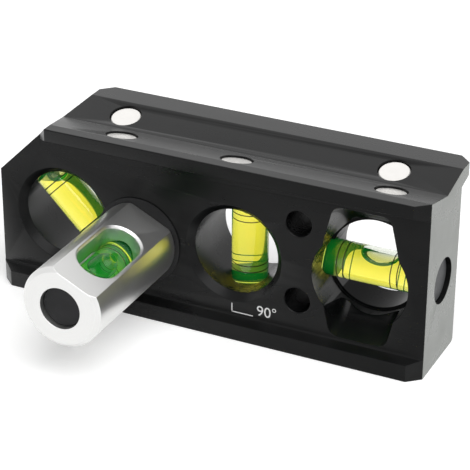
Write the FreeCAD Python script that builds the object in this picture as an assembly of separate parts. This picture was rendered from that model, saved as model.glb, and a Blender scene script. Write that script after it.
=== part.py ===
import FreeCAD, Part
import math
import os
from collections import namedtuple
from FreeCAD import Rotation, Vector

# Three-axis magnetic level, in millimetres.
# +X runs along the body, -Y is the front face with the rod, +Z is up.
# The origin is the middle of the body's bottom face.

# Body section, seen from the end
LENGTH = 150.0
HEIGHT = 60.4
WEB_THICKNESS = 26.9
FRONT_OVERHANG = 3.9
REAR_OVERHANG = 10.0
LIP_FACE = 4.3
LIP_ROOT = 5.7
FOOT_FACE = 5.7
FOOT_ROOT = 6.9
FLANGE_FACE = 3.3
FLANGE_ROOT = 6.0
BOTTOM_CHAMFER = 1.0
EDGE_ROUND = 0.35
ROOT_ROUND = 0.8

# Vee groove along the top, which sits on a pipe
GROOVE_Y = 2.3
GROOVE_HALF_WIDTH = 13.7
GROOVE_DEPTH = 3.24
GROOVE_BOTTOM_ROUND = 0.6

# Corners cut off the body
END_CORNER = 4.4
REAR_CORNER = 4.0
TOP_CORNER = 19.5

# Through holes in the web, all at one height: inner radius and rim radius
HOLE_Z = 28.8
SLANT_HOLE_FROM_END = 23.0
LEVEL_HOLE_FROM_END = 22.2
UPRIGHT_HOLE_SHARE = 0.066
WIDE_HOLE = (14.5, 16.8)
LEVEL_HOLE = (15.1, 16.0)

# Two fixing holes, one over the other, left of the level vial's hole
FIXING_FROM_HOLE = 20.7
FIXING_LOW_Z = 17.4
FIXING_SPACING = 26.8
FIXING_RADIUS = 4.3
FIXING_RIM = 4.6

# Scooped slot in front of the level vial, cut by a round cutter that turns about an axis along x,
# and the round recess about the hole, which is as deep as the slot may go
SCOOP_ABOVE_HOLE = 1.6
SCOOP_RADIUS = 23.1
SCOOP_AXIS_AHEAD = 5.2
SCOOP_WIDTH = 18.6
SCOOP_DRAFT = 14.0
SCOOP_CORNER = 3.5
RECESS_DEPTH = 13.6

# Vials: the hollow is a barrel, turned as a row of short cones that follow an arc
VIAL_RADIUS = 6.0
VIAL_LENGTH = 38.0
VIAL_END = 3.5
BARREL_MIDDLE = 5.0
BARREL_END = 4.1
BARREL_CONES = 4
VIAL_EDGE = 0.3
VIAL_CLEARANCE = 0.2
FLUID_CLEARANCE = 0.02
LEVEL_VIAL_BEHIND = 0.6
LEVEL_VIAL_BELOW = 0.8
UPRIGHT_VIAL_LEFT = 0.3
SLANT_VIAL_AHEAD = 2.4
SLANT_VIAL_BELOW = 0.35

# Bubbles: half length and radius, how far each is pressed into a wall, and how far off the middle one is
LONG_BUBBLE = (6.4, 3.0)
SHORT_BUBBLE = (3.4, 3.0)
BUBBLE_PRESS = 0.4
BUBBLE_CONES = 6
LEVEL_BUBBLE_SHIFT = 2.5

# Plugs that close the vial bores
PLUG_THICKNESS = 2.6
PLUG_EDGE = 0.4
PLUG_FIT = 0.02
BODY_PLUG_RADIUS = 7.5
SLANT_PLUG_RADIUS = 6.4
ROD_PLUG_RADIUS = 6.9
LEVEL_PLUG_SUNK = 1.6
ROD_PLUG_SUNK = 1.8

# Magnets sunk in the groove's slopes: distance from the body's end and from the groove's bottom line,
# except that the middle one is placed from the upright vial's hole
MAGNET_RADIUS = 5.0
MAGNET_THICKNESS = 3.0
MAGNET_SUNK = 0.6
MAGNET_CLEARANCE = 0.3
MAGNET_EDGE = 0.3
REAR_LEFT_MAGNET = (35.9, 7.0)
REAR_RIGHT_MAGNET = (20.1, 7.0)
FRONT_LEFT_MAGNET = (42.4, 7.9)
FRONT_MIDDLE_MAGNET = (1.5, 8.6)
FRONT_RIGHT_MAGNET = (15.6, 7.0)

# Rod that carries the cross vial and turns on a shoulder screw through the web
ROD_LEFT_OF_MIDDLE = 2.75
ROD_BELOW_HOLES = 2.6
ROD_RADIUS = 13.5
ROD_TURN = 25.9
ROD_FLAT = 10.75
ROD_END_CHAMFER = 1.4
ROD_BASE_CHAMFER = 0.6
WINDOW_HALF_WIDTH = 6.8
WINDOW_SHORTER = 10.4
WINDOW_RIM = 0.7
RUN_GAP = 0.05

# Shoulder screw, its washer and its spring
SHOULDER_RADIUS = 4.0
SHOULDER_FIT = 0.05
SCREW_HEAD_RADIUS = 6.5
SCREW_HEAD = 5.5
SCREW_HEAD_SUNK = 0.9
SCREW_HEAD_ROOM = 0.5
SCREW_EDGE = 0.4
SCREW_THREAD_RADIUS = 3.0
SCREW_THREAD = 6.0
SCREW_THREAD_FIT = 0.02
TAP_ROOM = 0.5
TAP_WALL = 1.3
HEX_ACROSS = 4.0
HEX_DEPTH = 2.8
WASHER_RADIUS = 10.0
WASHER_THICKNESS = 0.5
WASHER_CLEARANCE = 0.3
SPRING_RADIUS = 6.4
SPRING_THICKNESS = 0.35
SPRING_HEIGHT = 0.6

# How far a cutting shape runs past the face it opens
PAST = 2.0

# Places worked out from the sizes above
FOOT_DEPTH = WEB_THICKNESS + FRONT_OVERHANG
FRONT = -FOOT_DEPTH / 2
WEB_FRONT = FRONT + FRONT_OVERHANG
WEB_BACK = FOOT_DEPTH / 2
WEB_MIDDLE = (WEB_FRONT + WEB_BACK) / 2
FLANGE_EDGE = WEB_BACK + REAR_OVERHANG
LEFT_END = -LENGTH / 2
RIGHT_END = LENGTH / 2
SLANT_HOLE_X = LEFT_END + SLANT_HOLE_FROM_END
UPRIGHT_HOLE_X = UPRIGHT_HOLE_SHARE * LENGTH
LEVEL_HOLE_X = RIGHT_END - LEVEL_HOLE_FROM_END
FIXING_X = LEVEL_HOLE_X - FIXING_FROM_HOLE
BORE_RADIUS = VIAL_RADIUS + VIAL_CLEARANCE
GROOVE_SLOPE = math.atan2(GROOVE_DEPTH, GROOVE_HALF_WIDTH)
ROD_X = (SLANT_HOLE_X + UPRIGHT_HOLE_X) / 2 - ROD_LEFT_OF_MIDDLE
ROD_Z = HOLE_Z - ROD_BELOW_HOLES
ROD_BASE_Y = WEB_FRONT - WASHER_THICKNESS - RUN_GAP
ROD_VIAL_Y = ROD_BASE_Y - SCREW_THREAD - TAP_ROOM - TAP_WALL
ROD_WINDOW_Y = ROD_VIAL_Y - VIAL_LENGTH / 2
ROD_END_Y = ROD_VIAL_Y - VIAL_LENGTH - PLUG_THICKNESS - ROD_PLUG_SUNK
ROD_LENGTH = ROD_BASE_Y - ROD_END_Y
WINDOW_LENGTH = VIAL_LENGTH - WINDOW_SHORTER
HEAD_BACK_Y = WEB_BACK - SCREW_HEAD_SUNK
HEAD_FRONT_Y = HEAD_BACK_Y - SCREW_HEAD
POCKET_FLOOR_Y = HEAD_FRONT_Y - RUN_GAP - SPRING_HEIGHT

X_AXIS = Vector(1, 0, 0)
Y_AXIS = Vector(0, 1, 0)
Z_AXIS = Vector(0, 0, 1)
ORIGIN = Vector(0, 0, 0)

# Middle x of each magnet and its signed distance from the groove's bottom line, front ones below nought
MAGNETS = {
    "magnet_rear_left": (LEFT_END + REAR_LEFT_MAGNET[0], REAR_LEFT_MAGNET[1]),
    "magnet_rear_right": (RIGHT_END - REAR_RIGHT_MAGNET[0], REAR_RIGHT_MAGNET[1]),
    "magnet_front_left": (LEFT_END + FRONT_LEFT_MAGNET[0], -FRONT_LEFT_MAGNET[1]),
    "magnet_front_middle": (UPRIGHT_HOLE_X - FRONT_MIDDLE_MAGNET[0], -FRONT_MIDDLE_MAGNET[1]),
    "magnet_front_right": (RIGHT_END - FRONT_RIGHT_MAGNET[0], -FRONT_RIGHT_MAGNET[1]),
}

# Where a vial goes: its closed end, the way it runs, the way up, its plug's radius and its open end's depth
Station = namedtuple("Station", "closed axis up plug_radius mouth")


def rounded_wire(corners, place):
    """Closed wire through corners (u, v, radius), each rounded by its own radius."""
    outline = []
    for index, (u, v, radius) in enumerate(corners):
        here = Vector(u, v, 0)
        back = Vector(*corners[index - 1][:2], 0) - here
        ahead = Vector(*corners[(index + 1) % len(corners)][:2], 0) - here
        if radius == 0:
            outline.append((here,))
            continue
        half = back.getAngle(ahead) / 2
        trim = radius / math.tan(half)
        middle = back.normalize() + ahead.normalize()
        bulge = radius / math.sin(half) - radius
        outline.append((here + back * trim, here + middle.normalize() * bulge, here + ahead * trim))
    placed = [[place(point.x, point.y) for point in corner] for corner in outline]
    edges = []
    for index, corner in enumerate(placed):
        if len(corner) == 3:
            edges.append(Part.Arc(*corner).toShape())
        following = placed[(index + 1) % len(placed)]
        edges.append(Part.makeLine(corner[-1], following[0]))
    return Part.Wire(edges)


def prism(points, sweep):
    """Solid swept from a flat polygon."""
    return Part.Face(Part.makePolygon(points + [points[0]])).extrude(sweep)


def turned(profile):
    """Solid turned about z from (radius, height) points."""
    points = [Vector(radius, 0, height) for radius, height in profile]
    return Part.Face(Part.makePolygon(points + [points[0]])).revolve(ORIGIN, Z_AXIS, 360)


def placed(shape, origin, axis, up):
    """Copy with its own z along axis and its own x towards up."""
    copy = shape.copy()
    turn = Rotation(up, axis.cross(up), axis, "ZXY")
    copy.Placement = FreeCAD.Placement(origin, turn)
    return copy


def rod_turned(shape):
    """Copy turned with the rod about the rod's axis."""
    copy = shape.copy()
    copy.rotate(Vector(ROD_X, 0, ROD_Z), Y_AXIS, ROD_TURN)
    return copy


def save(shape, node):
    """Writes one sub-part."""
    shape.exportStep(f"parts/{node}.step")


def level_station():
    """Level vial, put in through the right-hand end."""
    mouth = PLUG_THICKNESS + LEVEL_PLUG_SUNK
    closed_x = RIGHT_END - mouth - VIAL_LENGTH
    closed = Vector(closed_x, WEB_MIDDLE + LEVEL_VIAL_BEHIND, HOLE_Z - LEVEL_VIAL_BELOW)
    return Station(closed, X_AXIS, Z_AXIS, BODY_PLUG_RADIUS, mouth)


def upright_station():
    """Upright vial, put in from below."""
    closed = Vector(UPRIGHT_HOLE_X - UPRIGHT_VIAL_LEFT, WEB_MIDDLE, HOLE_Z + VIAL_LENGTH / 2)
    return Station(closed, -Z_AXIS, X_AXIS, BODY_PLUG_RADIUS, HOLE_Z - VIAL_LENGTH / 2)


def slant_station():
    """Vial at 45 degrees, put in through the cut corner."""
    outward = Vector(-1, 0, 1).normalize()
    aside = Vector(1, 0, 1).normalize()
    hole_middle = Vector(SLANT_HOLE_X, WEB_MIDDLE - SLANT_VIAL_AHEAD, HOLE_Z)
    closed = hole_middle - aside * SLANT_VIAL_BELOW - outward * (VIAL_LENGTH / 2)
    on_cut = Vector(LEFT_END, closed.y, HEIGHT - TOP_CORNER)
    mouth = (on_cut - closed).dot(outward) - VIAL_LENGTH
    return Station(closed, outward, aside, SLANT_PLUG_RADIUS, mouth)


def cross_station():
    """Cross vial, put in through the rod's free end, before the rod is turned."""
    closed = Vector(ROD_X, ROD_VIAL_Y, ROD_Z)
    return Station(closed, -Y_AXIS, Z_AXIS, ROD_PLUG_RADIUS, PLUG_THICKNESS + ROD_PLUG_SUNK)


def vial_bore(station):
    """Bore for a vial with the wider mouth for its plug."""
    bore = Part.makeCylinder(BORE_RADIUS, VIAL_LENGTH, station.closed, station.axis)
    mouth_start = station.closed + station.axis * VIAL_LENGTH
    mouth = Part.makeCylinder(station.plug_radius, station.mouth + PAST, mouth_start, station.axis)
    return bore.fuse(mouth)


def rimmed_hole(x, z, radius, rim):
    """Hole through the web with a 45 degree rim at both faces."""
    depth = rim - radius
    start = Vector(x, WEB_FRONT - PAST, z)
    hole = Part.makeCylinder(radius, WEB_THICKNESS + 2 * PAST, start, Y_AXIS)
    front = Part.makeCone(rim + PAST, radius, depth + PAST, start, Y_AXIS)
    back = Part.makeCone(rim + PAST, radius, depth + PAST, Vector(x, WEB_BACK + PAST, z), -Y_AXIS)
    return hole.fuse([front, back])


def scoop():
    """Drafted disc with rounded outer corners, turned about an axis along x, joined to the round recess."""
    draft = math.tan(math.radians(SCOOP_DRAFT))
    half = SCOOP_WIDTH / 2
    inner = half + SCOOP_RADIUS * draft
    corners = [
        (0, -inner, 0),
        (SCOOP_RADIUS, -half, SCOOP_CORNER),
        (SCOOP_RADIUS, half, SCOOP_CORNER),
        (0, inner, 0),
    ]
    section = rounded_wire(corners, lambda radius, along: Vector(radius, 0, along))
    disc = Part.Face(section).revolve(ORIGIN, Z_AXIS, 360)
    middle = Vector(LEVEL_HOLE_X, WEB_FRONT - SCOOP_AXIS_AHEAD, HOLE_Z + SCOOP_ABOVE_HOLE)
    ahead_of_floor = Part.makeBox(2 * inner, FOOT_DEPTH, HEIGHT)
    ahead_of_floor.translate(Vector(LEVEL_HOLE_X - inner, WEB_FRONT + RECESS_DEPTH - FOOT_DEPTH, 0))
    slot = placed(disc, middle, X_AXIS, Z_AXIS).common(ahead_of_floor)
    start = Vector(LEVEL_HOLE_X, WEB_FRONT - PAST, HOLE_Z)
    return slot.fuse(Part.makeCylinder(LEVEL_HOLE[1], RECESS_DEPTH + PAST, start, Y_AXIS))


def corner_cuts():
    """Prisms that cut off the end corners and the top left corner, with the lip and flange beside it."""
    cuts = []
    for side in (-1, 1):
        end = side * LENGTH / 2
        out = side * PAST
        front_cut = [
            Vector(end - side * END_CORNER, FRONT, 0),
            Vector(end, WEB_FRONT, 0),
            Vector(end + out, WEB_FRONT, 0),
            Vector(end + out, FRONT - PAST, 0),
            Vector(end - side * END_CORNER, FRONT - PAST, 0),
        ]
        rear_cut = [
            Vector(end - side * REAR_CORNER, FLANGE_EDGE, 0),
            Vector(end, FLANGE_EDGE - REAR_CORNER, 0),
            Vector(end + out, FLANGE_EDGE - REAR_CORNER, 0),
            Vector(end + out, FLANGE_EDGE + PAST, 0),
            Vector(end - side * REAR_CORNER, FLANGE_EDGE + PAST, 0),
        ]
        cuts += [prism(front_cut, Z_AXIS * HEIGHT), prism(rear_cut, Z_AXIS * HEIGHT)]
    top_cut = [
        Vector(LEFT_END, FRONT - PAST, HEIGHT - TOP_CORNER),
        Vector(LEFT_END + TOP_CORNER, FRONT - PAST, HEIGHT),
        Vector(LEFT_END + TOP_CORNER, FRONT - PAST, HEIGHT + PAST),
        Vector(LEFT_END - PAST, FRONT - PAST, HEIGHT + PAST),
        Vector(LEFT_END - PAST, FRONT - PAST, HEIGHT - TOP_CORNER),
    ]
    cuts.append(prism(top_cut, Y_AXIS * (FLANGE_EDGE - FRONT + 2 * PAST)))
    lip_end = LEFT_END + TOP_CORNER
    lip_cut = [
        Vector(lip_end, FRONT, HEIGHT / 2),
        Vector(lip_end - FRONT_OVERHANG, WEB_FRONT, HEIGHT / 2),
        Vector(LEFT_END - PAST, WEB_FRONT, HEIGHT / 2),
        Vector(LEFT_END - PAST, FRONT - PAST, HEIGHT / 2),
        Vector(lip_end, FRONT - PAST, HEIGHT / 2),
    ]
    flange_end = lip_end + REAR_CORNER
    flange_cut = [
        Vector(flange_end, FLANGE_EDGE, HEIGHT / 2),
        Vector(flange_end - REAR_OVERHANG, WEB_BACK, HEIGHT / 2),
        Vector(LEFT_END - PAST, WEB_BACK, HEIGHT / 2),
        Vector(LEFT_END - PAST, FLANGE_EDGE + PAST, HEIGHT / 2),
        Vector(flange_end, FLANGE_EDGE + PAST, HEIGHT / 2),
    ]
    return cuts + [prism(lip_cut, Z_AXIS * HEIGHT), prism(flange_cut, Z_AXIS * HEIGHT)]


def magnet_seat(x, distance):
    """Middle of a magnet's face on the groove's slope, and the slope's outward normal."""
    side = math.copysign(1, distance)
    run = abs(distance)
    y = GROOVE_Y + side * run * math.cos(GROOVE_SLOPE)
    z = HEIGHT - GROOVE_DEPTH + run * math.sin(GROOVE_SLOPE)
    normal = Vector(0, -side * math.sin(GROOVE_SLOPE), math.cos(GROOVE_SLOPE))
    return Vector(x, y, z), normal


def magnet_pocket(x, distance):
    """Round pocket that a magnet is glued into."""
    seat, normal = magnet_seat(x, distance)
    floor = seat - normal * (MAGNET_THICKNESS + MAGNET_SUNK)
    depth = MAGNET_THICKNESS + MAGNET_SUNK + PAST
    return Part.makeCylinder(MAGNET_RADIUS + MAGNET_CLEARANCE, depth, floor, normal)


def pivot_hole():
    """Hole for the shoulder screw with a pocket for its head at the back."""
    radius = SHOULDER_RADIUS + SHOULDER_FIT
    start = Vector(ROD_X, WEB_FRONT - PAST, ROD_Z)
    hole = Part.makeCylinder(radius, WEB_THICKNESS + 2 * PAST, start, Y_AXIS)
    pocket_radius = SCREW_HEAD_RADIUS + SCREW_HEAD_ROOM
    pocket_depth = WEB_BACK - POCKET_FLOOR_Y + PAST
    pocket = Part.makeCylinder(pocket_radius, pocket_depth, Vector(ROD_X, POCKET_FLOOR_Y, ROD_Z), Y_AXIS)
    return hole.fuse(pocket)


def make_body():
    """Extruded and milled body with its groove, holes, scooped slot, bores and pockets."""
    section = [
        (FRONT, 0, EDGE_ROUND),
        (WEB_BACK - BOTTOM_CHAMFER, 0, 0),
        (WEB_BACK, BOTTOM_CHAMFER, 0),
        (WEB_BACK, HEIGHT - FLANGE_ROOT, 0),
        (FLANGE_EDGE, HEIGHT - FLANGE_FACE, EDGE_ROUND),
        (FLANGE_EDGE, HEIGHT, EDGE_ROUND),
        (GROOVE_Y + GROOVE_HALF_WIDTH, HEIGHT, 0),
        (GROOVE_Y, HEIGHT - GROOVE_DEPTH, GROOVE_BOTTOM_ROUND),
        (GROOVE_Y - GROOVE_HALF_WIDTH, HEIGHT, 0),
        (FRONT, HEIGHT, EDGE_ROUND),
        (FRONT, HEIGHT - LIP_FACE, EDGE_ROUND),
        (WEB_FRONT, HEIGHT - LIP_ROOT, ROOT_ROUND),
        (WEB_FRONT, FOOT_ROOT, ROOT_ROUND),
        (FRONT, FOOT_FACE, EDGE_ROUND),
    ]
    wire = rounded_wire(section, lambda y, z: Vector(LEFT_END, y, z))
    body = Part.Face(wire).extrude(X_AXIS * LENGTH)
    body = body.cut(corner_cuts())
    windows = [(SLANT_HOLE_X, WIDE_HOLE), (UPRIGHT_HOLE_X, WIDE_HOLE), (LEVEL_HOLE_X, LEVEL_HOLE)]
    for x, (radius, rim) in windows:
        body = body.cut(rimmed_hole(x, HOLE_Z, radius, rim))
    for z in (FIXING_LOW_Z, FIXING_LOW_Z + FIXING_SPACING):
        body = body.cut(rimmed_hole(FIXING_X, z, FIXING_RADIUS, FIXING_RIM))
    body = body.cut(scoop())
    for station in (level_station(), upright_station(), slant_station()):
        body = body.cut(vial_bore(station))
    for x, distance in MAGNETS.values():
        body = body.cut(magnet_pocket(x, distance))
    return body.cut(pivot_hole())


def make_magnet():
    """Disc magnet standing on its back face."""
    inner = MAGNET_RADIUS - MAGNET_EDGE
    low = MAGNET_EDGE
    high = MAGNET_THICKNESS - MAGNET_EDGE
    rim = [(inner, 0), (MAGNET_RADIUS, low), (MAGNET_RADIUS, high), (inner, MAGNET_THICKNESS)]
    return turned([(0, 0)] + rim + [(0, MAGNET_THICKNESS)])


def barrel(clearance):
    """Solid of the vial's hollow: a row of cones whose corners lie on an arc, shrunk by a clearance."""
    half = VIAL_LENGTH / 2 - VIAL_END
    bulge = BARREL_MIDDLE - BARREL_END
    arc_radius = (half ** 2 + bulge ** 2) / (2 * bulge)
    profile = [(0, VIAL_END)]
    for step in range(BARREL_CONES + 1):
        along = half * (2 * step / BARREL_CONES - 1)
        sag = arc_radius - math.sqrt(arc_radius ** 2 - along ** 2)
        profile.append((BARREL_MIDDLE - clearance - sag, VIAL_LENGTH / 2 + along))
    profile.append((0, VIAL_LENGTH - VIAL_END))
    return turned(profile)


def make_vial_shell():
    """Clear tube, closed at one end, with a barrel-shaped hollow and a socket for its cap."""
    low = VIAL_EDGE
    high = VIAL_LENGTH - VIAL_EDGE
    inner = VIAL_RADIUS - VIAL_EDGE
    side = [(inner, 0), (VIAL_RADIUS, low), (VIAL_RADIUS, high), (inner, VIAL_LENGTH)]
    tube = turned([(0, 0)] + side + [(0, VIAL_LENGTH)])
    socket = Part.makeCylinder(BARREL_END, VIAL_END + PAST, Z_AXIS * (VIAL_LENGTH - VIAL_END), Z_AXIS)
    return tube.cut([barrel(0), socket])


def make_vial_cap():
    """Disc glued into the vial's open end."""
    start = Z_AXIS * (VIAL_LENGTH - VIAL_END)
    return Part.makeCylinder(BARREL_END - FLUID_CLEARANCE, VIAL_END, start, Z_AXIS)


def bubble(half_length, radius, along, aside):
    """Air bubble, long way along the vial, turned as a row of cones whose corners lie on an ellipse."""
    turns = [math.pi * step / BUBBLE_CONES for step in range(1, BUBBLE_CONES)]
    profile = [(radius * math.sin(turn), -half_length * math.cos(turn)) for turn in turns]
    shape = turned([(0, -half_length)] + profile + [(0, half_length)])
    shape.translate(Vector(aside, 0, along))
    return shape


def make_fluid(bubble_size, along, wall):
    """Liquid that fills the hollow but for a bubble, pressed on the wall at that radius, or on the axis."""
    half_length, radius = bubble_size
    aside = 0 if wall is None else wall - radius + BUBBLE_PRESS
    return barrel(FLUID_CLEARANCE).cut(bubble(half_length, radius, along, aside))


def make_plug(radius):
    """Disc that closes a vial bore."""
    outer = radius - PLUG_FIT
    top = PLUG_THICKNESS
    return turned([(0, 0), (outer, 0), (outer, top - PLUG_EDGE), (outer - PLUG_EDGE, top), (0, top)])


def obround(half_width, length, height):
    """Closed obround wire, long way along y, at a height above the rod's axis."""
    centre = Vector(ROD_X, ROD_WINDOW_Y, ROD_Z + height)
    across = X_AXIS * half_width
    along = Y_AXIS * (length / 2 - half_width)
    tip = Y_AXIS * (length / 2)
    far = Part.Arc(centre + along + across, centre + tip, centre + along - across).toShape()
    near = Part.Arc(centre - along - across, centre - tip, centre - along + across).toShape()
    left = Part.makeLine(centre + along - across, centre - along - across)
    right = Part.makeLine(centre - along + across, centre + along + across)
    return Part.Wire([far, left, near, right])


def make_cross_rod():
    """Rod with a flat, a window over its vial, a vial bore and a tapped base."""
    profile = [
        (0, 0),
        (ROD_RADIUS - ROD_BASE_CHAMFER, 0),
        (ROD_RADIUS, ROD_BASE_CHAMFER),
        (ROD_RADIUS, ROD_LENGTH - ROD_END_CHAMFER),
        (ROD_RADIUS - ROD_END_CHAMFER, ROD_LENGTH),
        (0, ROD_LENGTH),
    ]
    rod = placed(turned(profile), Vector(ROD_X, ROD_BASE_Y, ROD_Z), -Y_AXIS, Z_AXIS)
    above_flat = Part.makeBox(2 * ROD_RADIUS, ROD_LENGTH + 2 * PAST, ROD_RADIUS)
    above_flat.translate(Vector(ROD_X - ROD_RADIUS, ROD_END_Y - PAST, ROD_Z + ROD_FLAT))
    opening = Part.Face(obround(WINDOW_HALF_WIDTH, WINDOW_LENGTH, 0)).extrude(Z_AXIS * (ROD_FLAT + PAST))
    wide = WINDOW_HALF_WIDTH + WINDOW_RIM
    rim_top = obround(wide + PAST, WINDOW_LENGTH + 2 * (WINDOW_RIM + PAST), ROD_FLAT + PAST)
    rim_foot = obround(WINDOW_HALF_WIDTH, WINDOW_LENGTH, ROD_FLAT - WINDOW_RIM)
    rim = Part.makeLoft([rim_foot, rim_top], True, True)
    tap_start = Vector(ROD_X, ROD_BASE_Y + PAST, ROD_Z)
    tapped = Part.makeCylinder(SCREW_THREAD_RADIUS, SCREW_THREAD + TAP_ROOM + PAST, tap_start, -Y_AXIS)
    rod = rod.cut([above_flat, opening, rim])
    rod = rod.cut(vial_bore(cross_station()))
    return rod_turned(rod.cut(tapped))


def make_pivot_screw():
    """Shoulder screw: head with a hexagon socket, plain shoulder and threaded end."""
    shoulder_end = HEAD_FRONT_Y - ROD_BASE_Y
    thread_radius = SCREW_THREAD_RADIUS - SCREW_THREAD_FIT
    tip = shoulder_end + SCREW_THREAD
    profile = [
        (0, -SCREW_HEAD),
        (SCREW_HEAD_RADIUS - SCREW_EDGE, -SCREW_HEAD),
        (SCREW_HEAD_RADIUS, SCREW_EDGE - SCREW_HEAD),
        (SCREW_HEAD_RADIUS, 0),
        (SHOULDER_RADIUS, 0),
        (SHOULDER_RADIUS, shoulder_end),
        (thread_radius, shoulder_end),
        (thread_radius, tip - SCREW_EDGE),
        (thread_radius - SCREW_EDGE, tip),
        (0, tip),
    ]
    corner = Vector(HEX_ACROSS / math.sqrt(3), 0, -SCREW_HEAD - PAST)
    corners = [Rotation(Z_AXIS, turn).multVec(corner) for turn in range(0, 360, 60)]
    socket = prism(corners, Z_AXIS * (HEX_DEPTH + PAST))
    screw = turned(profile).cut(socket)
    return rod_turned(placed(screw, Vector(ROD_X, HEAD_FRONT_Y, ROD_Z), -Y_AXIS, Z_AXIS))


def make_rod_washer():
    """Thin washer that the rod turns against."""
    hole = SHOULDER_RADIUS + WASHER_CLEARANCE
    top = WASHER_THICKNESS
    ring = turned([(hole, 0), (WASHER_RADIUS, 0), (WASHER_RADIUS, top), (hole, top)])
    return placed(ring, Vector(ROD_X, WEB_FRONT, ROD_Z), -Y_AXIS, Z_AXIS)


def make_disc_spring():
    """Coned spring washer under the screw's head, which keeps the rod from turning by itself."""
    hole = SHOULDER_RADIUS + WASHER_CLEARANCE
    rise = SPRING_HEIGHT - SPRING_THICKNESS
    outer = SPRING_RADIUS
    ring = turned([(hole, rise), (outer, 0), (outer, SPRING_THICKNESS), (hole, SPRING_HEIGHT)])
    return placed(ring, Vector(ROD_X, POCKET_FLOOR_Y, ROD_Z), Y_AXIS, Z_AXIS)


def save_vial(name, station, fluid, turn=None):
    """Writes one vial's shell, cap, liquid and bore plug at their station."""
    closed, axis, up = station.closed, station.axis, station.up
    pieces = {
        f"{name}_vial_shell": placed(make_vial_shell(), closed, axis, up),
        f"{name}_vial_cap": placed(make_vial_cap(), closed, axis, up),
        f"{name}_vial_fluid": placed(fluid, closed, axis, up),
        f"{name}_plug": placed(make_plug(station.plug_radius), closed + axis * VIAL_LENGTH, axis, up),
    }
    for node, shape in pieces.items():
        save(turn(shape) if turn else shape, node)


def save_vials():
    """Writes the four vials, each with its bubble at its highest place."""
    middle = VIAL_LENGTH / 2
    at_closed_end = VIAL_END + SHORT_BUBBLE[0] - BUBBLE_PRESS
    at_cap = VIAL_LENGTH - at_closed_end
    save_vial("level", level_station(), make_fluid(LONG_BUBBLE, middle + LEVEL_BUBBLE_SHIFT, BARREL_MIDDLE))
    save_vial("upright", upright_station(), make_fluid(SHORT_BUBBLE, at_closed_end, None))
    save_vial("slant", slant_station(), make_fluid(SHORT_BUBBLE, at_cap, BARREL_END))
    save_vial("cross", cross_station(), make_fluid(LONG_BUBBLE, middle, BARREL_MIDDLE), rod_turned)


def main():
    """Builds and writes every sub-part."""
    os.makedirs("parts", exist_ok=True)
    save(make_body(), "body")
    for node, (x, distance) in MAGNETS.items():
        seat, normal = magnet_seat(x, distance)
        floor = seat - normal * (MAGNET_THICKNESS + MAGNET_SUNK)
        save(placed(make_magnet(), floor, normal, X_AXIS), node)
    save_vials()
    save(make_cross_rod(), "cross_rod")
    save(make_pivot_screw(), "pivot_screw")
    save(make_rod_washer(), "rod_washer")
    save(make_disc_spring(), "disc_spring")


main()
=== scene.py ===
"""Dresses the three-axis magnetic level: finishes, vials, rod, magnets, print and studio."""

import math

import bmesh
import bpy
from bpy.props import FloatProperty, FloatVectorProperty, PointerProperty
from mathutils import Matrix, Vector


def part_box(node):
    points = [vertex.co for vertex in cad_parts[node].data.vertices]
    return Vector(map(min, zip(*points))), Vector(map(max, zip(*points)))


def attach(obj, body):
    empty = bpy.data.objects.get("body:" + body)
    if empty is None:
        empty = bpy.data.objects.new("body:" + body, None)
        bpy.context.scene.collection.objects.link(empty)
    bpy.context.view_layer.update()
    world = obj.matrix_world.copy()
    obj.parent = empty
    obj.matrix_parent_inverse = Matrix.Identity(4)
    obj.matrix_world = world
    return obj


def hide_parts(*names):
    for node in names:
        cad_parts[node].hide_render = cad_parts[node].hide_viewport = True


bl_info = {
    "name": "Three-axis magnetic level",
    "version": (1, 0, 0),
    "blender": (4, 5, 0),
    "location": "View3D > Sidebar > Level",
    "description": "Finishes and studio for a magnetic level with four vials",
    "category": "Object",
}

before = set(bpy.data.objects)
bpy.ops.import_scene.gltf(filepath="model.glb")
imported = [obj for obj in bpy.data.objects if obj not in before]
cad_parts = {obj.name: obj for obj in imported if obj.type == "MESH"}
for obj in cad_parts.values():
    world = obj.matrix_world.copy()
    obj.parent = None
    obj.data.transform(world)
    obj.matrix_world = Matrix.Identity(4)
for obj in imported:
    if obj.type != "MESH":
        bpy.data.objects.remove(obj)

MM = 0.001

# How a copied CAD mesh is joined and where its shading breaks
JOIN_DISTANCE = 2e-6
FLAT_ANGLE = math.radians(0.5)
SHARP_ANGLE = math.radians(28.0)

# Directions of the vials: closed end to open end, and the side that is up
ROD_TURN = math.radians(25.9)
ROD_UP = Vector((math.sin(ROD_TURN), 0.0, math.cos(ROD_TURN)))
VIAL_AXES = {
    "level": (Vector((1, 0, 0)), Vector((0, 0, 1))),
    "upright": (Vector((0, 0, -1)), Vector((1, 0, 0))),
    "slant": (Vector((-1, 0, 1)).normalized(), Vector((1, 0, 1)).normalized()),
    "cross": (Vector((0, -1, 0)), ROD_UP),
}
VIAL_BODIES = {"level": "level", "upright": "level", "slant": "level", "cross": "rod"}

# Bubble of each vial: half height, half width and half length, how far off the vial's axis and along it
BUBBLES = {
    "level": (Vector((3.1, 3.8, 6.4)) * MM, 3.9 * MM, 2.5 * MM),
    "upright": (Vector((3.0, 3.0, 3.4)) * MM, 0.0, -12.3 * MM),
    "slant": (Vector((3.0, 3.0, 3.4)) * MM, 1.3 * MM, 12.3 * MM),
    "cross": (Vector((3.1, 3.8, 6.4)) * MM, 3.9 * MM, 0.0),
}

# Thin film of liquid left between a bubble and the wall, and the gap that keeps two surfaces apart
FILM = 0.04 * MM
SURFACE_GAP = 0.01 * MM

# Outer radius and eased rim of the dark washer behind the rod
WASHER_RADIUS = 14.9 * MM
WASHER_RIM = 0.12 * MM

# Axis of the third round hole, and the recess round its front, which gets painted shade
LEVEL_HOLE = Vector((52.8, 0.0, 28.8)) * MM
RECESS_MIDDLE = 15.6 * MM
RECESS_HALF = 0.55 * MM
RECESS_START = 42.0 * MM

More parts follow.
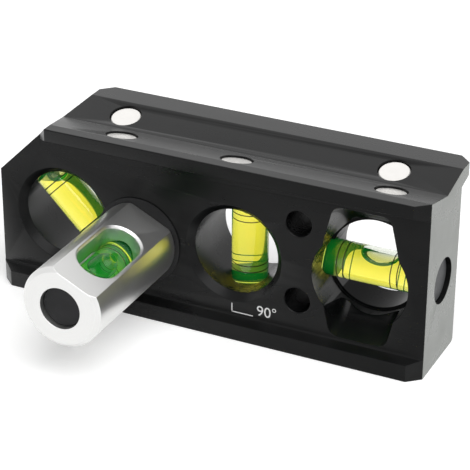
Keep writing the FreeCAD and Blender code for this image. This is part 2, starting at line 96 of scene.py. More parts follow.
# Rounded rims of a vial's ends, and how far its rings stand off and how thick they are
VIAL_RIM = 0.3 * MM
RING_LIFT = 0.02 * MM
RING_THICKNESS = 0.03 * MM

# How finely round shapes are divided: outsides, bores and rings, and the arc along a hollow
OUTSIDE_STEPS = 128
ROUND_STEPS = 96
ARC_STEPS = 24

# Print on the front face: the sign's corner and strokes, and where the figures start
SIGN_CORNER = Vector((9.4, -11.5, 7.95)) * MM
SIGN_LENGTH = 7.6 * MM
SIGN_HEIGHT = 3.2 * MM
SIGN_LINE = 0.35 * MM
FIGURES_START = Vector((18.2, -11.5, 8.8)) * MM
FIGURE_SHARE = 0.7
INK_THICKNESS = 0.02 * MM

# Where the main lamp shines from and how wide it looks
KEY_FROM = Vector((0.45, -0.35, 1.0))
KEY_WIDTH = math.radians(60)

# Photograph's viewpoint
CAMERA_PLACE = Vector((0.247217, -0.508717, 0.318194))
CAMERA_TURN = [math.radians(angle) for angle in (62.84, -0.325, 25.625)]
CAMERA_LENS = 151.2

MAGNETS = ["rear_left", "rear_right", "front_left", "front_middle", "front_right"]

# Marks on the meshes that the clear finishes read, and how strongly acrylic and liquid bend light
HOLLOW_MARK = "hollow"
RIM_MARK = "rim"
BUBBLE_MARK = "bubble"
ACRYLIC_IOR = 1.49
LIQUID_IOR = 1.38

# How deep the milled finish, painted paler as a reflection, goes from the body's end
END_DEPTH = 0.05 * MM


def length_setting(label, about, default):
    """Adjustable length in metres."""
    return FloatProperty(
        name=label, description=about, default=default, min=0.0, unit="LENGTH", precision=5)


def amount_setting(label, about, default):
    """Adjustable strength from nought upwards."""
    return FloatProperty(name=label, description=about, default=default, min=0.0)


def share_setting(label, about, default):
    """Adjustable number between nought and one."""
    return FloatProperty(
        name=label, description=about, default=default, min=0.0, max=1.0, subtype="FACTOR")


def colour_setting(label, about, default):
    """Adjustable colour."""
    return FloatVectorProperty(
        name=label, description=about, default=default, min=0.0, max=1.0, subtype="COLOR")


class BodySettings(bpy.types.PropertyGroup):
    """Finish of the anodised body, its magnets and its print."""

    edge_width: length_setting("Eased edge", "Width of the eased edges of the body", 0.22 * MM)
    anodise: colour_setting("Anodise", "Colour of the black anodised surface", (0.0022, 0.0024, 0.0026))
    anodise_worn: colour_setting(
        "Anodise, pale", "Colour where the anodise is thinner", (0.005, 0.0052, 0.0052))
    anodise_gloss: share_setting("Anodise roughness", "Roughness of the anodised surface", 0.27)
    # Milled end faces, whose paler colour is a painted reflection of bright light at a grazing angle
    milled_end_painted_reflection: colour_setting("Milled ends", "Colour of the milled end faces", (0.145, 0.155, 0.14))
    nickel: colour_setting("Nickel", "Colour of the plated magnets", (0.93, 0.91, 0.88))
    print_colour: colour_setting("Print", "Colour of the printed mark", (0.78, 0.78, 0.78))
    print_height: length_setting("Figure height", "Height of the printed figures", 3.6 * MM)


class VialSettings(bpy.types.PropertyGroup):
    """Shape and colour of the vials."""

    acrylic: colour_setting("Acrylic", "Tint of the clear tubes", (0.96, 0.98, 0.94))
    liquid: colour_setting(
        "Liquid", "Colour of white light behind one bore's width of liquid", (0.95, 0.71, 0.05))
    glow: colour_setting("Liquid's glow", "Green shine of the liquid", (0.02, 1.0, 0.24))
    glow_strength: amount_setting("Glow", "Light given off by each metre of liquid", 15.0)
    # Stronger glow of the cross vial: painted light for the light entering through the rod's window
    cross_glow: amount_setting("Cross vial's glow", "Light given off by each metre of its liquid", 23.0)
    # Painted glow of the eased rims, standing in for light the acrylic gathers
    rim_glow: colour_setting("Rim's glow", "Light gathered by the eased rims of a vial", (0.62, 0.72, 0.22))
    ring_colour: colour_setting("Rings", "Colour of the rings round the vials", (0.004, 0.005, 0.004))
    ring_width: length_setting("Ring width", "Width of a ring", 0.34 * MM)
    inner_rings: length_setting("Inner rings", "Their distance from the vial's middle", 7.9 * MM)
    outer_rings: length_setting("Outer rings", "Their distance from the vial's middle", 10.1 * MM)
    barrel_middle: length_setting("Barrel radius", "Radius of the hollow at its middle", 5.0 * MM)
    barrel_end: length_setting("Barrel end radius", "Radius of the hollow at its ends", 4.1 * MM)
    end_wall: length_setting("End wall", "Thickness of the vial's closed end and of its cap", 3.5 * MM)


class RodSettings(bpy.types.PropertyGroup):
    """Finish of the rod and of what holds it."""

    aluminium: colour_setting("Aluminium", "Colour of the turned aluminium", (0.75, 0.75, 0.74))
    aluminium_gloss: share_setting("Aluminium roughness", "Roughness of the turned aluminium", 0.34)
    groove_spacing: length_setting("Turning marks", "Distance between the turning marks", 0.12 * MM)
    edge_width: length_setting("Eased edge", "Width of the eased edges of the rod", 0.2 * MM)
    steel: colour_setting("Steel", "Colour of the plated screw and spring", (0.56, 0.57, 0.58))
    nylon: colour_setting("Nylon", "Colour of the washer behind the rod", (0.006, 0.006, 0.0065))
    plug_grey: colour_setting("End plug", "Colour of the plug in the body's end", (0.07, 0.072, 0.075))
    plug_black: colour_setting("Other plugs", "Colour of the other plugs", (0.012, 0.012, 0.013))


class StageSettings(bpy.types.PropertyGroup):
    """Studio round the level."""

    floor_size: length_setting("Floor", "Side of the square floor", 6.0)
    floor_colour: colour_setting("Floor colour", "Colour of the floor", (0.90, 0.90, 0.90))
    floor_lift: share_setting("Floor lift", "Light added to what is seen of the floor", 0.26)
    ambient: share_setting("Ambient", "Light from all round", 0.42)
    key_strength: amount_setting("Key lamp", "Strength of the main lamp", 2.3)


class Finish:
    """Material with its nodes at hand."""

    def __init__(self, name, colour, **sockets):
        """Starts a material from one shader."""
        self.material = bpy.data.materials.new(name)
        self.material.use_nodes = True
        tree = self.material.node_tree
        self.nodes = tree.nodes
        self.links = tree.links
        self.shader = tree.nodes["Principled BSDF"]
        self.shader.inputs["Base Color"].default_value = (*colour, 1.0)
        self.material.diffuse_color = (*colour, 1.0)
        for socket, value in sockets.items():
            self.shader.inputs[socket.replace("_", " ")].default_value = value

    def node(self, kind, values=(), **settings):
        """Adds a node, sets its fields and then its input sockets by name."""
        made = self.nodes.new(kind)
        for field, value in settings.items():
            setattr(made, field, value)
        for socket, value in dict(values).items():
            made.inputs[socket].default_value = value
        return made

    def feed(self, source, target, socket):
        """Links an output to a node's named input."""
        self.links.new(source, target.inputs[socket])

    def placed_coordinates(self, centre=(0.0, 0.0, 0.0), stretch=(1.0, 1.0, 1.0)):
        """Object coordinates measured from a centre and stretched."""
        source = self.node("ShaderNodeTexCoord")
        mapping = self.node("ShaderNodeMapping")
        mapping.inputs["Location"].default_value = [-c * s for c, s in zip(centre, stretch)]
        mapping.inputs["Scale"].default_value = stretch
        self.feed(source.outputs["Object"], mapping, "Vector")
        return mapping.outputs["Vector"]

    def grain(self, coordinates, scale, detail=3.0):
        """Noise over coordinates."""
        noise = self.node("ShaderNodeTexNoise", {"Scale": scale, "Detail": detail, "Roughness": 0.55})
        self.feed(coordinates, noise, "Vector")
        return noise.outputs["Fac"]

    def spread(self, value, low, high):
        """Stretches a noise's middle range to low and high."""
        values = {"From Min": 0.3, "From Max": 0.7, "To Min": low, "To Max": high}
        spread = self.node("ShaderNodeMapRange", values)
        self.feed(value, spread, "Value")
        return spread.outputs["Result"]

    def tint(self, value, dark, light):
        """Varies the base colour between two colours."""
        ramp = self.node("ShaderNodeValToRGB")
        first, last = ramp.color_ramp.elements
        first.position, last.position = 0.35, 0.65
        first.color = (*dark, 1.0)
        last.color = (*light, 1.0)
        self.feed(value, ramp, "Fac")
        self.feed(ramp.outputs["Color"], self.shader, "Base Color")
        return ramp.outputs["Color"]

    def roughen(self, value, low, high):
        """Varies the roughness between two values."""
        self.feed(self.spread(value, low, high), self.shader, "Roughness")

    def bump(self, value, distance, strength, under=None):
        """Adds small heights to the surface, over those of another bump."""
        bump = self.node("ShaderNodeBump", {"Distance": distance, "Strength": strength})
        self.feed(value, bump, "Height")
        if under:
            self.feed(under, bump, "Normal")
        self.feed(bump.outputs["Normal"], self.shader, "Normal")
        return bump.outputs["Normal"]

    def blend(self, factor, first, second, kind="FLOAT"):
        """Mix of two outputs or values by a factor."""
        mix = self.node("ShaderNodeMix", data_type=kind)
        sockets = {"FLOAT": (2, 3, 0), "RGBA": (6, 7, 2)}[kind]
        self.feed(factor, mix, 0)
        for socket, value in zip(sockets, (first, second)):
            if isinstance(value, bpy.types.NodeSocket):
                self.feed(value, mix, socket)
            else:
                mix.inputs[socket].default_value = value
        return mix.outputs[sockets[2]]

    def reckon(self, operation, *terms):
        """Result of a sum with outputs and numbers."""
        made = self.node("ShaderNodeMath", operation=operation)
        for place, term in enumerate(terms):
            if isinstance(term, bpy.types.NodeSocket):
                self.feed(term, made, place)
            else:
                made.inputs[place].default_value = term
        return made.outputs["Value"]

    def part_along(self, output, axis):
        """An output's part along an axis."""
        parts = self.node("ShaderNodeSeparateXYZ")
        self.feed(output, parts, "Vector")
        return parts.outputs[axis]

    def beyond(self, output, axis, limit):
        """One where an output's part along an axis is further from nought than a limit."""
        return self.reckon("GREATER_THAN", self.reckon("ABSOLUTE", self.part_along(output, axis)), limit)

    def radius_about(self, centre):
        """Distance from a line through a centre along y."""
        flattened = self.placed_coordinates(centre=centre, stretch=(1.0, 0.0, 1.0))
        radius = self.node("ShaderNodeVectorMath", operation="LENGTH")
        self.feed(flattened, radius, "Vector")
        return radius.outputs["Value"]

    def marked_ior(self, mark, outside, marked):
        """Index of refraction that differs where the mesh carries a mark."""
        attribute = self.node("ShaderNodeAttribute", attribute_name=mark)
        level = self.node("ShaderNodeMapRange", {"To Min": outside, "To Max": marked})
        self.feed(attribute.outputs["Fac"], level, "Value")
        self.feed(level.outputs["Result"], self.shader, "IOR")


def paler(colour, factor):
    """Colour made lighter or darker by a factor, as far as white."""
    return tuple(min(1.0, channel * factor) for channel in colour)


def painted_shade_places(finish):
    """One on the undersides and in the recess round the third hole, where cutting the anodise's reflection
    paints shade.
    """
    surface = finish.node("ShaderNodeTexCoord")
    under = finish.node("ShaderNodeMapRange", {"From Min": -0.15, "From Max": -0.35})
    finish.feed(finish.part_along(surface.outputs["Normal"], "Z"), under, "Value")
    near = finish.reckon("COMPARE", finish.radius_about(LEVEL_HOLE), RECESS_MIDDLE, RECESS_HALF)
    across = finish.part_along(finish.placed_coordinates(), "X")
    recess = finish.reckon("MULTIPLY", near, finish.reckon("GREATER_THAN", across, RECESS_START))
    return finish.reckon("MAXIMUM", under.outputs["Result"], recess)


def anodised_finish(settings):
    """Black anodised aluminium: fine grain over faint extrusion lines, and milled ends painted paler as a
    reflection.
    """
    finish = Finish("black_anodised", settings.anodise, Roughness=settings.anodise_gloss)
    place = finish.placed_coordinates()
    clouds = finish.grain(finish.placed_coordinates(stretch=(0.35, 1.0, 1.0)), 90.0, 4.0)
    lines = finish.grain(finish.placed_coordinates(stretch=(0.02, 1.0, 1.0)), 1400.0, 2.0)
    blast = finish.grain(place, 2600.0, 2.0)
    # The milled end faces get a paler colour, a painted reflection of bright light at a grazing angle
    end = finish.beyond(place, "X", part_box("body")[1].x - END_DEPTH)
    black = finish.tint(clouds, settings.anodise, settings.anodise_worn)
    finish.feed(finish.blend(end, black, (*settings.milled_end_painted_reflection, 1.0), "RGBA"), finish.shader, "Base Color")
    finish.roughen(clouds, settings.anodise_gloss - 0.04, settings.anodise_gloss + 0.08)
    slanting = finish.node("ShaderNodeLayerWeight", {"Blend": 0.5})
    shares = {"From Min": 0.15, "From Max": 0.6, "To Min": 0.14, "To Max": 0.5}
    level = finish.node("ShaderNodeMapRange", shares)
    finish.feed(slanting.outputs["Facing"], level, "Value")
    # Undersides and the recess reflect less, as painted shade
    shine = finish.blend(painted_shade_places(finish), level.outputs["Result"], 0.06)
    finish.feed(finish.blend(end, shine, 0.7), finish.shader, "Specular IOR Level")
    drawn = finish.bump(lines, 0.02 * MM, 0.12)
    finish.bump(blast, 0.02 * MM, 0.10, drawn)
    return finish.material


def nickel_finish(settings):
    """Nickel plating with fine rubbing marks."""
    finish = Finish("nickel", settings.nickel, Metallic=0.45, Roughness=0.2)
    rubs = finish.grain(finish.placed_coordinates(stretch=(1.0, 0.15, 1.0)), 1500.0, 2.0)
    spots = finish.grain(finish.placed_coordinates(), 260.0, 3.0)
    finish.tint(spots, paler(settings.nickel, 0.96), settings.nickel)
    finish.roughen(rubs, 0.16, 0.26)
    finish.bump(rubs, 0.002 * MM, 0.1)
    return finish.material


def turned_finish(settings, axis_place):
    """Bright aluminium with turning marks round an axis along y, which are rings on the end faces."""
    gloss = settings.aluminium_gloss
    finish = Finish("bright_aluminium", settings.aluminium, Metallic=1.0, Roughness=gloss)
    density = 0.5 / settings.groove_spacing
    along = finish.placed_coordinates(centre=axis_place, stretch=(0.02, 1.0, 0.02))
    side_marks = finish.grain(along, density, 3.0)
    rings = finish.node("ShaderNodeTexNoise", {"Scale": density, "Detail": 3.0}, noise_dimensions="1D")
    finish.feed(finish.radius_about(axis_place), rings, "W")
    source = finish.node("ShaderNodeTexCoord")
    on_end = finish.beyond(source.outputs["Normal"], "Y", 0.9)
    marks = finish.blend(on_end, side_marks, rings.outputs["Fac"])
    fine = finish.grain(finish.placed_coordinates(), 2200.0, 2.0)
    turned_colour = finish.tint(marks, paler(settings.aluminium, 0.97), settings.aluminium)
    # The milled flat facing the rod's up side is painted a little darker, as shade that tones down its
    # highlight
    towards = finish.node("ShaderNodeVectorMath", operation="DOT_PRODUCT")
    towards.inputs[1].default_value = ROD_UP
    finish.feed(source.outputs["Normal"], towards, 0)
    flat = finish.node("ShaderNodeMapRange", {"From Min": 0.985, "From Max": 0.998})
    finish.feed(towards.outputs["Value"], flat, "Value")
    milled = (*paler(settings.aluminium, 0.96), 1.0)
    colour = finish.blend(flat.outputs["Result"], turned_colour, milled, "RGBA")
    finish.feed(colour, finish.shader, "Base Color")
    finish.roughen(marks, gloss - 0.03, gloss + 0.04)
    turned = finish.bump(marks, 0.003 * MM, 0.06)
    finish.bump(fine, 0.002 * MM, 0.04, turned)
    return finish.material


def steel_finish(settings):
    """Zinc plated steel with a faint uneven sheen."""
    finish = Finish("steel", settings.steel, Metallic=1.0, Roughness=0.34)
    clouds = finish.grain(finish.placed_coordinates(), 350.0, 4.0)
    finish.tint(clouds, paler(settings.steel, 0.85), paler(settings.steel, 1.1))
    finish.roughen(clouds, 0.26, 0.42)
    finish.bump(finish.grain(finish.placed_coordinates(), 3000.0, 2.0), 0.01 * MM, 0.2)
    return finish.material


def moulded_finish(name, colour):
    """Moulded plastic with a fine dull skin."""
    finish = Finish(name, colour, Roughness=0.48, Specular_IOR_Level=0.22)
    skin = finish.grain(finish.placed_coordinates(), 2800.0, 2.0)
    clouds = finish.grain(finish.placed_coordinates(), 220.0, 3.0)
    finish.tint(clouds, paler(colour, 0.85), paler(colour, 1.15))
    finish.roughen(skin, 0.42, 0.56)
    finish.bump(skin, 0.02 * MM, 0.25)
    return finish.material


def acrylic_finish(settings):
    """Clear acrylic of the vial's tube: air outside it and liquid in its hollow."""
    finish = Finish("acrylic", settings.acrylic, Roughness=0.0, Transmission_Weight=1.0)
    finish.marked_ior(HOLLOW_MARK, ACRYLIC_IOR, ACRYLIC_IOR / LIQUID_IOR)
    # The eased rims glow: painted light standing in for light the acrylic gathers
    finish.shader.inputs["Emission Color"].default_value = (*settings.rim_glow, 1.0)
    rim = finish.node("ShaderNodeAttribute", attribute_name=RIM_MARK)
    finish.feed(rim.outputs["Fac"], finish.shader, "Emission Strength")
    streaks = finish.grain(finish.placed_coordinates(), 160.0, 2.0)
    finish.tint(streaks, paler(settings.acrylic, 0.99), settings.acrylic)
    finish.bump(streaks, 0.01 * MM, 0.05)
    return finish.material


def liquid_finish(settings, name, glow):
    """Yellow liquid, which dims light by its depth and shines green; its bubbles hold air."""
    finish = Finish(name, paler(settings.liquid, 1.1), Roughness=0.0, Transmission_Weight=1.0)
    finish.marked_ior(BUBBLE_MARK, 1.0, LIQUID_IOR)
    clouds = finish.grain(finish.placed_coordinates(), 120.0, 2.0)
    finish.tint(clouds, (0.99, 0.99, 0.99), (1.0, 1.0, 1.0))
    bore = 2 * settings.barrel_middle
    loss = [-math.log(channel) / bore for channel in settings.liquid]
    depth = finish.node("ShaderNodeVolumeAbsorption", {"Density": max(loss)})
    depth.inputs["Color"].default_value = (*(1.0 - channel / max(loss) for channel in loss), 1.0)
    shine = finish.node("ShaderNodeEmission", {"Color": (*settings.glow, 1.0), "Strength": glow})
    both = finish.node("ShaderNodeAddShader")
    finish.feed(depth.outputs["Volume"], both, 0)
    finish.feed(shine.outputs["Emission"], both, 1)
    finish.feed(both.outputs["Shader"], finish.nodes["Material Output"], "Volume")
    return finish.material


def ring_finish(settings):
    """Black paint of the rings."""
    finish = Finish("ring_paint", settings.ring_colour, Roughness=0.5)
    speck = finish.grain(finish.placed_coordinates(), 2500.0, 2.0)
    finish.tint(speck, settings.ring_colour, paler(settings.ring_colour, 1.6))
    finish.bump(speck, 0.01 * MM, 0.2)
    return finish.material


def print_finish(settings):
    """Pale ink of the printed mark."""
    finish = Finish("print_ink", settings.print_colour, Roughness=0.55)
    speck = finish.grain(finish.placed_coordinates(), 1800.0, 3.0)
    finish.tint(speck, paler(settings.print_colour, 0.9), settings.print_colour)
    finish.bump(speck, 0.01 * MM, 0.2)
    return finish.material


def new_piece(shape, name, body, finish, replaced=()):
    """Makes a bmesh a piece that moves with a body, and frees the bmesh."""
    mesh = bpy.data.meshes.new(name)
    shape.to_mesh(mesh)
    shape.free()
    mesh.materials.append(finish)
    mesh.shade_smooth()
    mesh.set_sharp_from_angle(angle=SHARP_ANGLE)
    piece = bpy.data.objects.new(name, mesh)
    bpy.context.scene.collection.objects.link(piece)
    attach(piece, body)
    if replaced:
        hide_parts(*replaced)
    return piece


def ease_edges(piece, width):
    """Rounds a piece's sharp edges by a small bevel."""
    bevel = piece.modifiers.new("eased edges", "BEVEL")
    bevel.offset_type = "WIDTH"
    bevel.width = width
    bevel.segments = 2
    bevel.limit_method = "ANGLE"
    bevel.angle_limit = SHARP_ANGLE
    bevel.use_clamp_overlap = False
    bevel.harden_normals = True


def joined_copy(node):
    """Copy of a CAD node's mesh with its loose triangles joined."""
    shape = bmesh.new()
    shape.from_mesh(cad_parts[node].data)
    bmesh.ops.remove_doubles(shape, verts=shape.verts, dist=JOIN_DISTANCE)
    bmesh.ops.dissolve_limit(shape, angle_limit=FLAT_ANGLE, verts=shape.verts, edges=shape.edges)
    return shape


def middle(node):
    """Middle of a CAD node's box."""
    low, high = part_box(node)
    return (low + high) / 2


def standing_on(origin, axis, up):
    """Transform that takes z to axis and x to up, at an origin."""
    side = axis.cross(up)
    turn = Matrix((up, side, axis)).transposed()
    return Matrix.Translation(origin) @ turn.to_4x4()


def paint(node, finish):
    """Gives a CAD node its finish."""
    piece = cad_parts[node]
    piece.data.materials.clear()
    piece.data.materials.append(finish)


def turn_profile(shape, edges, segments):
    """Turns a profile of edges about z into a closed surface."""
    geometry = list(edges) + list({vert for edge in edges for vert in edge.verts})
    bmesh.ops.spin(
        shape,
        geom=geometry,
        cent=(0, 0, 0),
        axis=(0, 0, 1),
        angle=math.tau,
        steps=segments,
        use_merge=True,
    )
    bmesh.ops.remove_doubles(shape, verts=shape.verts, dist=JOIN_DISTANCE)
    bmesh.ops.recalc_face_normals(shape, faces=shape.faces)


def add_eased_cylinder(shape, radius, length, rim, steps):
    """Adds a closed cylinder about z with rounded rims, and returns the faces of the rims."""
    ends = bmesh.ops.create_cone(
        shape, cap_ends=True, segments=OUTSIDE_STEPS, radius1=radius, radius2=radius, depth=length)
    corners_of_ends = set(ends["verts"])
    edges = [edge for edge in shape.edges if corners_of_ends.issuperset(edge.verts)]
    rims = [edge for edge in edges if abs(edge.verts[0].co.z - edge.verts[1].co.z) < JOIN_DISTANCE]
    eased = bmesh.ops.bevel(
        shape, geom=rims, offset=rim, segments=steps, profile=0.5, affect="EDGES", material=-1)
    return eased["faces"]


class Barrel:
    """Barrel-shaped hollow of a vial, about z."""

    def __init__(self, settings, length):
        """Works out the arc that the hollow's side follows."""
        self.half = length / 2 - settings.end_wall
        self.middle = settings.barrel_middle
        self.end = settings.barrel_end
        bulge = self.middle - self.end
        self.arc_radius = (self.half ** 2 + bulge ** 2) / (2 * bulge)

    def radius(self, along):
        """Radius of the hollow at a distance from its middle."""
        return self.middle - self.arc_radius + math.sqrt(self.arc_radius ** 2 - along ** 2)

    def solid(self, gap):
        """Solid of the hollow, smaller all round by a gap."""
        shape = bmesh.new()
        start = shape.verts.new((self.end - gap, 0.0, gap - self.half))
        bmesh.ops.spin(
            shape,
            geom=[start],
            cent=(self.middle - gap - self.arc_radius, 0.0, 0.0),
            axis=(0, -1, 0),
            angle=2 * math.asin((self.half - gap) / self.arc_radius),
            steps=ARC_STEPS,
        )
        turn_profile(shape, shape.edges[:], ROUND_STEPS)
        bmesh.ops.holes_fill(shape, edges=shape.edges, sides=0)
        bmesh.ops.recalc_face_normals(shape, faces=shape.faces)
        return shape


def vial_tube(barrel, radius, length):
    """Clear cylinder with eased ends and a barrel-shaped hollow, about z."""
    shape = barrel.solid(0.0)
    bmesh.ops.reverse_faces(shape, faces=shape.faces)
    mark = shape.verts.layers.float.new(HOLLOW_MARK)
    rim = shape.faces.layers.float.new(RIM_MARK)
    for vert in shape.verts:
        vert[mark] = 1.0
    for face in add_eased_cylinder(shape, radius, length, VIAL_RIM, 3):
        face[rim] = 1.0
    return shape


def vial_liquid(barrel, half_sizes, aside, along):
    """Liquid in the hollow with an air bubble left in it, pressed against the wall."""
    shape = barrel.solid(SURFACE_GAP)
    mark = shape.verts.layers.float.new(BUBBLE_MARK)
    bubble = bmesh.ops.create_uvsphere(shape, u_segments=64, v_segments=32, radius=1.0)["verts"]
    bmesh.ops.scale(shape, vec=half_sizes, verts=bubble)
    bmesh.ops.translate(shape, vec=(aside, 0.0, along), verts=bubble)
    for vert in bubble:
        vert[mark] = 1.0
        end = barrel.half - FILM
        vert.co.z = max(-end, min(end, vert.co.z))
        limit = barrel.radius(vert.co.z) - FILM
        reach = math.hypot(vert.co.x, vert.co.y)
        if reach > limit:
            vert.co.x *= limit / reach
            vert.co.y *= limit / reach
    bmesh.ops.reverse_faces(shape, faces=list({face for vert in bubble for face in vert.link_faces}))
    return shape


def vial_rings(settings, radius):
    """Two pairs of painted rings about z."""
    shape = bmesh.new()
    half = settings.ring_width / 2
    for place in (settings.inner_rings, settings.outer_rings):
        for side in (-1, 1):
            ring = bmesh.ops.create_circle(
                shape, cap_ends=False, segments=ROUND_STEPS, radius=radius + RING_LIFT)
            bmesh.ops.translate(shape, vec=(0, 0, side * place - half), verts=ring["verts"])
            edges = list({edge for vert in ring["verts"] for edge in vert.link_edges})
            drawn = bmesh.ops.extrude_edge_only(shape, edges=edges)
            moved = [part for part in drawn["geom"] if isinstance(part, bmesh.types.BMVert)]
            bmesh.ops.translate(shape, vec=(0, 0, settings.ring_width), verts=moved)
    bmesh.ops.recalc_face_normals(shape, faces=shape.faces)
    bmesh.ops.solidify(shape, geom=shape.faces[:], thickness=RING_THICKNESS)
    return shape


def wide_washer(low, high):
    """Washer as thick as a box along y and as wide as its rim is seen, with an eased edge."""
    shape = bmesh.new()
    add_eased_cylinder(shape, WASHER_RADIUS, high.y - low.y, WASHER_RIM, 2)
    place = Matrix.Translation((low + high) / 2) @ Matrix.Rotation(math.radians(90), 4, "X")
    bmesh.ops.transform(shape, matrix=place, verts=shape.verts)
    return shape


def make_vial(name, settings, finishes):
    """Makes one vial's tube, liquid and rings where its CAD nodes are."""
    axis, up = VIAL_AXES[name]
    body = VIAL_BODIES[name]
    low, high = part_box("upright_vial_shell")
    radius = (high.x - low.x) / 2
    length = high.z - low.z
    barrel = Barrel(settings, length)
    place = standing_on(middle(f"{name}_vial_shell"), axis, up)
    shapes = {
        "tube": vial_tube(barrel, radius, length),
        "liquid": vial_liquid(barrel, *BUBBLES[name]),
        "rings": vial_rings(settings, radius),
    }
    replaced = {"tube": (f"{name}_vial_shell", f"{name}_vial_cap"), "liquid": (f"{name}_vial_fluid",)}
    for part, shape in shapes.items():
        bmesh.ops.transform(shape, matrix=place, verts=shape.verts)
        nodes = replaced.get(part, ())
        new_piece(shape, f"{name}_vial_{part}", body, finishes[part], nodes)


class LEVEL_OT_body(bpy.types.Operator):
    """Black anodised body with eased edges"""

    bl_idname = "level.body"
    bl_label = "Body"

    def execute(self, context):
        settings = context.scene.level_body
        finish = anodised_finish(settings)
        copy = joined_copy("body")
        piece = new_piece(copy, "body_dressed", "level", finish, ["body"])
        self.keep_lands_flat(piece.data)
        ease_edges(piece, settings.edge_width)
        return {"FINISHED"}

    @staticmethod
    def keep_lands_flat(mesh):
        """Breaks the shading along the edges of the flat lands beside the groove."""
        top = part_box("body")[1].z - JOIN_DISTANCE
        for edge in mesh.edges:
            if all(mesh.vertices[index].co.z > top for index in edge.vertices):
                edge.use_edge_sharp = True


class LEVEL_OT_magnets(bpy.types.Operator):
    """Nickel plated disc magnets in the groove"""

    bl_idname = "level.magnets"
    bl_label = "Magnets"

    def execute(self, context):
        finish = nickel_finish(context.scene.level_body)
        for name in MAGNETS:
            paint(f"magnet_{name}", finish)
        return {"FINISHED"}


class LEVEL_OT_vials(bpy.types.Operator):
    """Four vials with their liquid, bubbles and rings"""

    bl_idname = "level.vials"
    bl_label = "Vials"

    def execute(self, context):
        settings = context.scene.level_vials
        finishes = {
            "tube": acrylic_finish(settings),
            "liquid": liquid_finish(settings, "fluid", settings.glow_strength),
            "rings": ring_finish(settings),
        }
        for name in ("level", "upright", "slant"):
            make_vial(name, settings, finishes)
        # The cross vial's liquid glows more strongly, painted light for the light through the rod's window
        finishes["liquid"] = liquid_finish(settings, "cross_fluid", settings.cross_glow)
        make_vial("cross", settings, finishes)
        return {"FINISHED"}


class LEVEL_OT_plugs(bpy.types.Operator):
    """Plugs that close the vial bores"""

    bl_idname = "level.plugs"
    bl_label = "Plugs"

    def execute(self, context):
        settings = context.scene.level_rod
        grey = moulded_finish("plug_grey", settings.plug_grey)
        black = moulded_finish("plug", settings.plug_black)
        paint("level_plug", grey)
        for name in ("upright_plug", "slant_plug", "cross_plug"):
            paint(name, black)
        return {"FINISHED"}


class LEVEL_OT_rod(bpy.types.Operator):
    """Bright turned rod with its flat and window"""

    bl_idname = "level.rod"
    bl_label = "Rod"

    def execute(self, context):
        settings = context.scene.level_rod
        finish = turned_finish(settings, middle("cross_vial_shell"))
        copy = joined_copy("cross_rod")
        piece = new_piece(copy, "cross_rod_dressed", "rod", finish, ["cross_rod"])
        ease_edges(piece, settings.edge_width)
        return {"FINISHED"}


class LEVEL_OT_pivot(bpy.types.Operator):
    """Screw, spring and washer that the rod turns on"""

    bl_idname = "level.pivot"
    bl_label = "Pivot"

    def execute(self, context):
        settings = context.scene.level_rod
        steel = steel_finish(settings)
        paint("pivot_screw", steel)
        paint("disc_spring", steel)
        washer = wide_washer(*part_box("rod_washer"))
        nylon = moulded_finish("nylon", settings.nylon)
        new_piece(washer, "washer_dressed", "level", nylon, ["rod_washer"])
        return {"FINISHED"}


class LEVEL_OT_print(bpy.types.Operator):
    """Right-angle sign and 90 degree figures under the upright vial"""

    bl_idname = "level.print"
    bl_label = "Print"

    def execute(self, context):
        settings = context.scene.level_body
        finish = print_finish(settings)
        sign = bmesh.new()
        for length, height in ((SIGN_LENGTH, SIGN_LINE), (SIGN_LINE, SIGN_HEIGHT)):
            bar = bmesh.ops.create_cube(sign, size=1.0)["verts"]
            bmesh.ops.scale(sign, vec=(length, 2 * INK_THICKNESS, height), verts=bar)
            middle_of_bar = SIGN_CORNER + Vector((length / 2, 0.0, height / 2))
            bmesh.ops.translate(sign, vec=middle_of_bar, verts=bar)
        new_piece(sign, "right_angle_sign", "level", finish)

        text = bpy.data.curves.new("right_angle_figures", "FONT")
        text.body = "90°"
        text.size = settings.print_height / FIGURE_SHARE
        text.extrude = INK_THICKNESS
        holder = bpy.data.objects.new("right_angle_figures", text)
        context.scene.collection.objects.link(holder)
        context.view_layer.update()
        mesh = bpy.data.meshes.new_from_object(holder)
        bpy.data.objects.remove(holder)
        figures = bmesh.new()
        figures.from_mesh(mesh)
        bpy.data.meshes.remove(mesh)
        upright = Matrix.Rotation(math.radians(90), 4, "X")
        bmesh.ops.transform(figures, matrix=Matrix.Translation(FIGURES_START) @ upright, verts=figures.verts)
        new_piece(figures, "right_angle_figures", "level", finish)
        return {"FINISHED"}


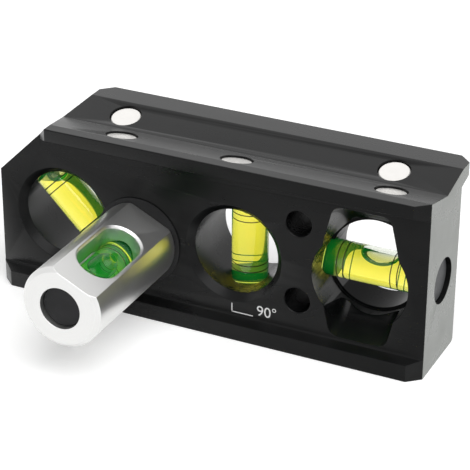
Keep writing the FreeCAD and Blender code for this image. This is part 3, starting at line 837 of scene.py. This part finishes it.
class LEVEL_OT_stage(bpy.types.Operator):
    """Pale floor, white surroundings, soft lamps and the photograph's camera"""

    bl_idname = "level.stage"
    bl_label = "Stage"

    def execute(self, context):
        scene = context.scene
        settings = scene.level_stage
        self.lay_floor(scene, settings)
        self.light_world(scene, settings)
        self.hang_lamps(scene, settings)
        self.set_camera(scene)
        scene.view_settings.view_transform = "Standard"
        return {"FINISHED"}

    @staticmethod
    def seen_rays(nodes, links):
        """One for rays that show a background: camera, glossy and transmission rays."""
        path = nodes.new("ShaderNodeLightPath")
        first = nodes.new("ShaderNodeMath")
        first.operation = "MAXIMUM"
        links.new(path.outputs["Is Camera Ray"], first.inputs[0])
        links.new(path.outputs["Is Glossy Ray"], first.inputs[1])
        second = nodes.new("ShaderNodeMath")
        second.operation = "MAXIMUM"
        links.new(first.outputs["Value"], second.inputs[0])
        links.new(path.outputs["Is Transmission Ray"], second.inputs[1])
        return second.outputs["Value"]

    def lay_floor(self, scene, settings):
        """Large pale floor that keeps the level's shadow."""
        shape = bmesh.new()
        bmesh.ops.create_grid(shape, x_segments=2, y_segments=2, size=settings.floor_size / 2)
        mesh = bpy.data.meshes.new("floor")
        shape.to_mesh(mesh)
        shape.free()
        finish = Finish("floor", settings.floor_colour, Roughness=0.9, Specular_IOR_Level=0.1)
        finish.shader.inputs["Emission Color"].default_value = (1.0, 1.0, 1.0, 1.0)
        seen = self.seen_rays(finish.nodes, finish.links)
        lift = finish.reckon("MULTIPLY", seen, settings.floor_lift)
        finish.feed(lift, finish.shader, "Emission Strength")
        mesh.materials.append(finish.material)
        floor = bpy.data.objects.new("floor", mesh)
        scene.collection.objects.link(floor)

    def light_world(self, scene, settings):
        """White to the eye and in reflections, dimmer as light on the level."""
        world = bpy.data.worlds.new("studio")
        world.use_nodes = True
        nodes = world.node_tree.nodes
        links = world.node_tree.links
        background = nodes["Background"]
        background.inputs["Color"].default_value = (1.0, 1.0, 1.0, 1.0)
        strength = nodes.new("ShaderNodeMapRange")
        strength.inputs["To Min"].default_value = settings.ambient
        strength.inputs["To Max"].default_value = 1.0
        links.new(self.seen_rays(nodes, links), strength.inputs["Value"])
        links.new(strength.outputs["Result"], background.inputs["Strength"])
        scene.world = world

    def hang_lamps(self, scene, settings):
        """One broad soft sun from above, in front and to the right."""
        lamp = bpy.data.lights.new("key", "SUN")
        lamp.energy = settings.key_strength
        lamp.angle = KEY_WIDTH
        key = bpy.data.objects.new("key", lamp)
        key.rotation_euler = KEY_FROM.to_track_quat("Z", "Y").to_euler()
        scene.collection.objects.link(key)

    def set_camera(self, scene):
        """Camera at the photograph's viewpoint."""
        lens = bpy.data.cameras.new("camera")
        lens.lens = CAMERA_LENS
        lens.sensor_width = 36.0
        lens.clip_start = 0.01
        camera = bpy.data.objects.new("camera", lens)
        camera.location = CAMERA_PLACE
        camera.rotation_euler = CAMERA_TURN
        scene.collection.objects.link(camera)
        scene.camera = camera


class LEVEL_PT_build(bpy.types.Panel):
    """Lists the level's pieces"""

    bl_idname = "LEVEL_PT_build"
    bl_label = "Magnetic level"
    bl_space_type = "VIEW_3D"
    bl_region_type = "UI"
    bl_category = "Level"

    def draw(self, context):
        for operator in OPERATORS:
            self.layout.operator(operator.bl_idname)
        for name in SETTINGS:
            settings = getattr(context.scene, name)
            box = self.layout.box()
            for field in settings.__annotations__:
                box.prop(settings, field)


OPERATORS = (
    LEVEL_OT_body,
    LEVEL_OT_magnets,
    LEVEL_OT_vials,
    LEVEL_OT_plugs,
    LEVEL_OT_rod,
    LEVEL_OT_pivot,
    LEVEL_OT_print,
    LEVEL_OT_stage,
)

SETTINGS = {
    "level_body": BodySettings,
    "level_vials": VialSettings,
    "level_rod": RodSettings,
    "level_stage": StageSettings,
}


def register():
    """Adds the settings, operators and panel."""
    for name, group in SETTINGS.items():
        bpy.utils.register_class(group)
        setattr(bpy.types.Scene, name, PointerProperty(type=group))
    for kind in (*OPERATORS, LEVEL_PT_build):
        bpy.utils.register_class(kind)


def unregister():
    """Takes the panel, operators and settings away."""
    for kind in (LEVEL_PT_build, *reversed(OPERATORS)):
        bpy.utils.unregister_class(kind)
    for name, group in reversed(SETTINGS.items()):
        delattr(bpy.types.Scene, name)
        bpy.utils.unregister_class(group)


def main():
    """Registers the add-on and dresses the level."""
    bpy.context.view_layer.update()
    register()
    for operator in OPERATORS:
        group, action = operator.bl_idname.split(".")
        getattr(getattr(bpy.ops, group), action)()


if __name__ == "__main__":
    main()
